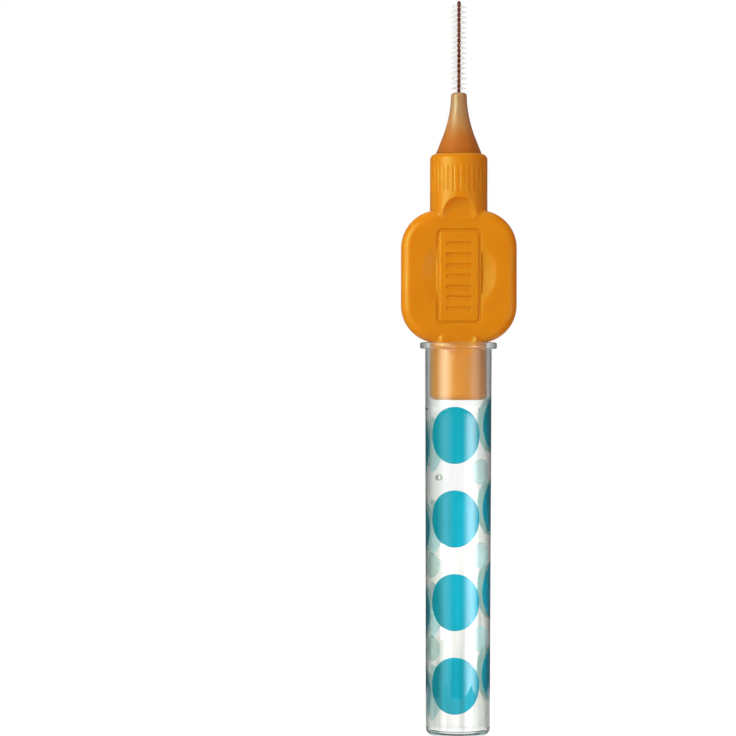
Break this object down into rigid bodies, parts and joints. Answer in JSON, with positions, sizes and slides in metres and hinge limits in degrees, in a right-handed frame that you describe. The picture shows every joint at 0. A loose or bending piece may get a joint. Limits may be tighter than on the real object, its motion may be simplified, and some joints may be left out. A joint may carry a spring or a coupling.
{
  "type": "interdental brush",
  "caption": "Interdental brush: twisted-wire brush head on a soft neck and flat moulded grip, with a clear tubular cap pushed onto its rear collar.",
  "frame": {"origin": "centre of the cap's closed end, on which the part stands", "axes": "+Z along the brush, from the cap's closed end to the wire's tip; +X across the width of the grip; +Y through the grip's thickness, from its front face to its back face"},
  "size_m": [0.015, 0.01, 0.0957],
  "materials": {
    "clear_plastic": "clear gloss moulding",
    "teal_ink": "screen-printed ink",
    "pale_ink": "screen-printed ink",
    "orange_plastic": "semi-gloss moulding",
    "soft_elastomer": "translucent satin moulding",
    "coated_wire": "steel wire with a glossy bonded plastic coat",
    "nylon": "clear drawn filament"
  },
  "bodies": {
    "cap": {"cap": "clear_plastic", "printed_dots": "teal_ink", "pale_dots": "pale_ink"},
    "brush": {"handle": "orange_plastic", "neck": "soft_elastomer", "wire": "coated_wire", "bristles": "nylon"}
  },
  "joints": [
    {"name": "cap_slide", "type": "slide", "parent": "cap", "child": "brush", "axis": [0, 0, 1], "range_m": [0, 0.016]}
  ]
}
